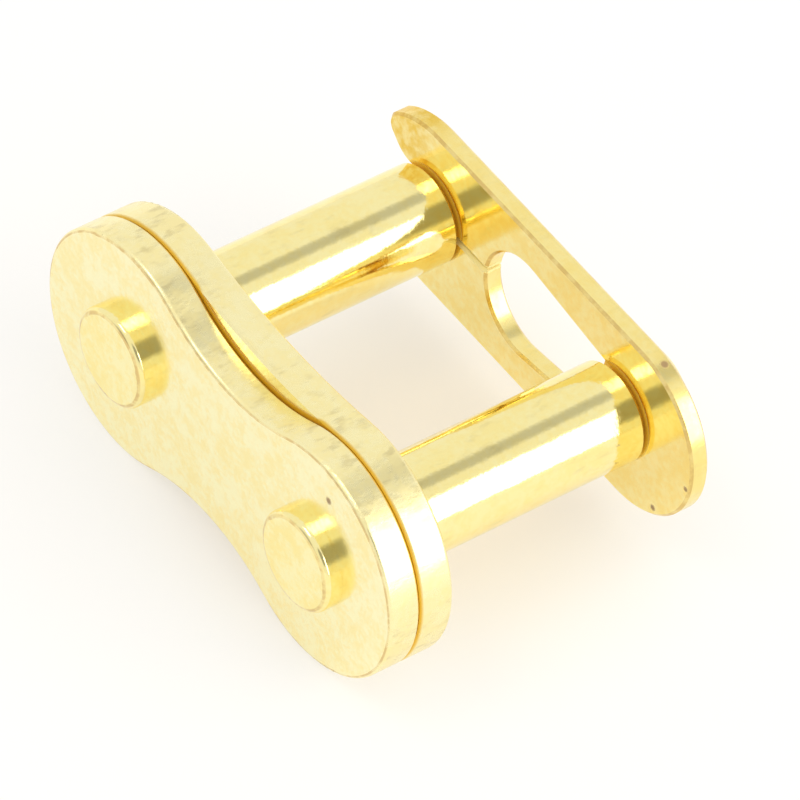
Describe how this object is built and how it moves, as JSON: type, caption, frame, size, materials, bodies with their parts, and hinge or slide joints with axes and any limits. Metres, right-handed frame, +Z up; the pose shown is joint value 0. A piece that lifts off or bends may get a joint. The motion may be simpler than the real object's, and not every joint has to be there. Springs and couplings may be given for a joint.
{
  "type": "chain connecting link",
  "caption": "Roller chain connecting link: outer plate with two riveted pins, slip-on cover plate and a spring clip that locks it.",
  "frame": {"origin": "midway between the two pin axes, on the inner face of the outer plate", "axes": "+X from the pin at the clip's split end to the pin at its closed end, +Y along the pins to the clip, +Z up"},
  "size_m": [0.0234, 0.0184, 0.0106],
  "materials": {
    "plate_plating": "gold-coloured plating over tumbled steel, glossy",
    "pin_plating": "gold-coloured plating over ground steel, mirror-like",
    "clip_plating": "gold-coloured plating over spring steel, glossy"
  },
  "bodies": {
    "pinned_plate": {"outer_plate": "plate_plating", "split_end_pin": "pin_plating", "closed_end_pin": "pin_plating"},
    "cover": {"cover_plate": "plate_plating"},
    "clip": {"spring_clip": "clip_plating"}
  },
  "joints": [
    {"name": "cover_slide", "type": "slide", "parent": "pinned_plate", "child": "cover", "axis": [0, 1, 0], "range_m": [0, 0.0121]},
    {"name": "clip_slide", "type": "slide", "parent": "pinned_plate", "child": "clip", "axis": [1, 0, 0], "range_m": [0, 0.00635], "deforming": ["spring_clip"]}
  ]
}
